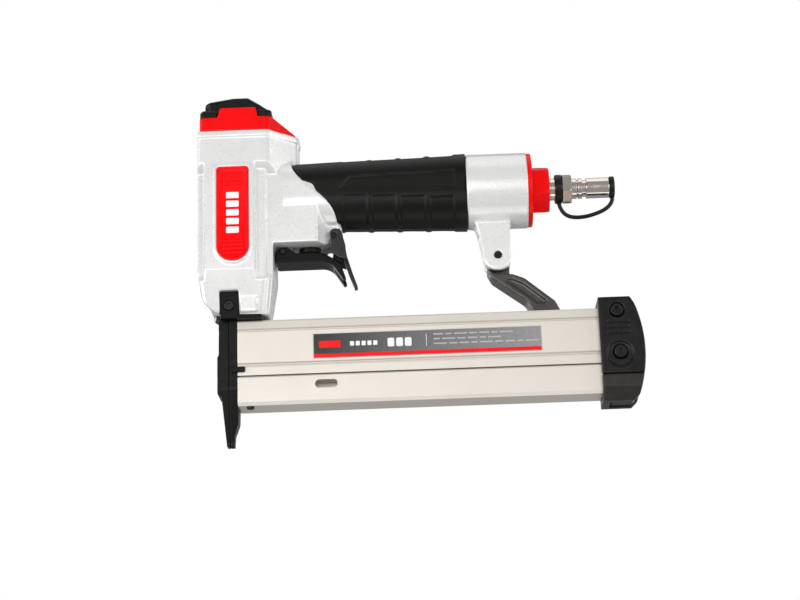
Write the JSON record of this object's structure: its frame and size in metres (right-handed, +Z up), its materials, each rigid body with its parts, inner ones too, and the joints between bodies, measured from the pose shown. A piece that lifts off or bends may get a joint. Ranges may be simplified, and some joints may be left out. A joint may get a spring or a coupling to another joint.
{
  "type": "pneumatic pin nailer",
  "caption": "Handheld compressed-air pin nailer: driver head, padded handle with trigger, side-loading magazine with a sliding channel, and a capped quick-connect air plug.",
  "frame": {"origin": "centre of the nose's contact face, where the pin leaves the tool", "axes": "+Z up the driver away from the work, +X back along the magazine and handle, +Y the tool's left side"},
  "size_m": [0.2368, 0.0432, 0.1939],
  "materials": {
    "silver_paint": "silver-grey painted casting",
    "red_plastic": "glossy red moulding",
    "red_paint": "red anodised and painted metal",
    "black_plastic": "matte black moulding",
    "grip_rubber": "matte moulded grip",
    "black_rubber": "soft black rubber",
    "gasket": "sheet gasket",
    "black_steel": "black oxide steel",
    "grey_steel": "dark grey plated steel",
    "bright_steel": "bright steel",
    "magazine_alloy": "champagne anodised extrusion",
    "alloy": "machined aluminium",
    "nickel": "nickel plated fitting",
    "brass": "bronze bush and plunger",
    "arm_metal": "charcoal casting",
    "label": null,
    "filter": "woven wire cup"
  },
  "bodies": {
    "body_unit": {"housing": "silver_paint", "cap_gasket": "gasket", "cylinder_cap": "red_paint", "exhaust_cover": "black_plastic", "cap_screws": "black_steel", "badge_right": "red_plastic", "badge_left": "red_plastic", "grip_sleeve": "grip_rubber", "inlet_cap": "red_paint", "inlet_oring": "black_rubber", "inlet_filter": "filter", "air_plug": "nickel", "cylinder_sleeve": "alloy", "sleeve_oring": "black_rubber", "bumper": "black_rubber", "driver_guide": "bright_steel", "head_valve_spring": "bright_steel", "trigger_pin": "bright_steel", "lock_lever_pin": "black_steel", "lock_lever_spring": "bright_steel", "valve_bush": "black_plastic", "valve_oring": "black_rubber", "valve_spring": "bright_steel", "nose_body": "black_steel", "nose_plate": "black_steel", "nose_screws": "black_steel", "yoke_screws": "black_steel", "magazine_rail": "magazine_alloy", "label_right": "label", "label_left": "label", "rear_cap": "black_plastic", "rear_cap_screws": "black_steel", "support_arm": "arm_metal", "arm_bolt": "black_steel", "arm_foot_screws": "black_steel"},
    "piston_unit": {"piston": "alloy", "piston_oring": "black_rubber", "driver_blade": "bright_steel"},
    "head_valve_unit": {"head_valve": "black_plastic"},
    "trigger_unit": {"trigger": "black_steel"},
    "lock_lever_unit": {"lock_lever": "grey_steel"},
    "stem_unit": {"valve_stem": "brass"},
    "slide_unit": {"magazine_slide": "magazine_alloy", "stop_screw": "black_steel", "slide_end": "black_plastic", "latch_pin": "bright_steel"},
    "latch_unit": {"latch": "black_plastic"},
    "pusher_unit": {"pusher": "bright_steel", "spring_roll": "bright_steel", "roll_pin": "bright_steel"},
    "tether_unit": {"tether_ring": "black_rubber", "tether_strap": "black_rubber"},
    "dust_cap_unit": {"dust_cap": "black_rubber"}
  },
  "joints": [
    {"name": "trigger_hinge", "type": "hinge", "parent": "body_unit", "child": "trigger_unit", "pos_m": [0.0286, 0, 0.1059], "axis": [0, -1, 0], "range_deg": [0, 6], "stiffness_Nm_per_rad": 1, "springref_deg": -8.59},
    {"name": "lock_lever_hinge", "type": "hinge", "parent": "body_unit", "child": "lock_lever_unit", "pos_m": [0.0564, 0, 0.1136], "axis": [0, 1, 0], "range_deg": [0, 12], "stiffness_Nm_per_rad": 0.05, "springref_deg": -22.92},
    {"name": "valve_stem_slide", "type": "slide", "parent": "body_unit", "child": "stem_unit", "axis": [0, 0, 1], "range_m": [0, 0.0016], "deforming": ["valve_spring"]},
    {"name": "piston_slide", "type": "slide", "parent": "body_unit", "child": "piston_unit", "axis": [0, 0, -1], "range_m": [0, 0.053]},
    {"name": "head_valve_slide", "type": "slide", "parent": "body_unit", "child": "head_valve_unit", "axis": [0, 0, 1], "range_m": [0, 0.0035], "stiffness_N_per_m": 300, "springref_m": -0.004, "deforming": ["head_valve_spring"]},
    {"name": "magazine_slide_travel", "type": "slide", "parent": "body_unit", "child": "slide_unit", "axis": [1, 0, 0], "range_m": [0, 0.1]},
    {"name": "latch_hinge", "type": "hinge", "parent": "slide_unit", "child": "latch_unit", "pos_m": [0.2032, 0, 0.0214], "axis": [0, -1, 0], "range_deg": [0, 10], "stiffness_Nm_per_rad": 0.05, "springref_deg": -17.19},
    {"name": "pusher_travel", "type": "slide", "parent": "slide_unit", "child": "pusher_unit", "axis": [1, 0, 0], "range_m": [0, 0.085], "stiffness_N_per_m": 15, "springref_m": -0.1},
    {"name": "tether_swivel", "type": "hinge", "parent": "body_unit", "child": "tether_unit", "pos_m": [0.18, 0, 0.1384], "axis": [1, 0, 0], "continuous": true},
    {"name": "dust_cap_slide", "type": "slide", "parent": "tether_unit", "child": "dust_cap_unit", "axis": [1, 0, 0], "range_m": [0, 0.01], "deforming": ["tether_strap"]}
  ],
  "couplings": [
    {"joint": "valve_stem_slide", "follows": "trigger_hinge", "m_per_rad": 0.0144}
  ]
}
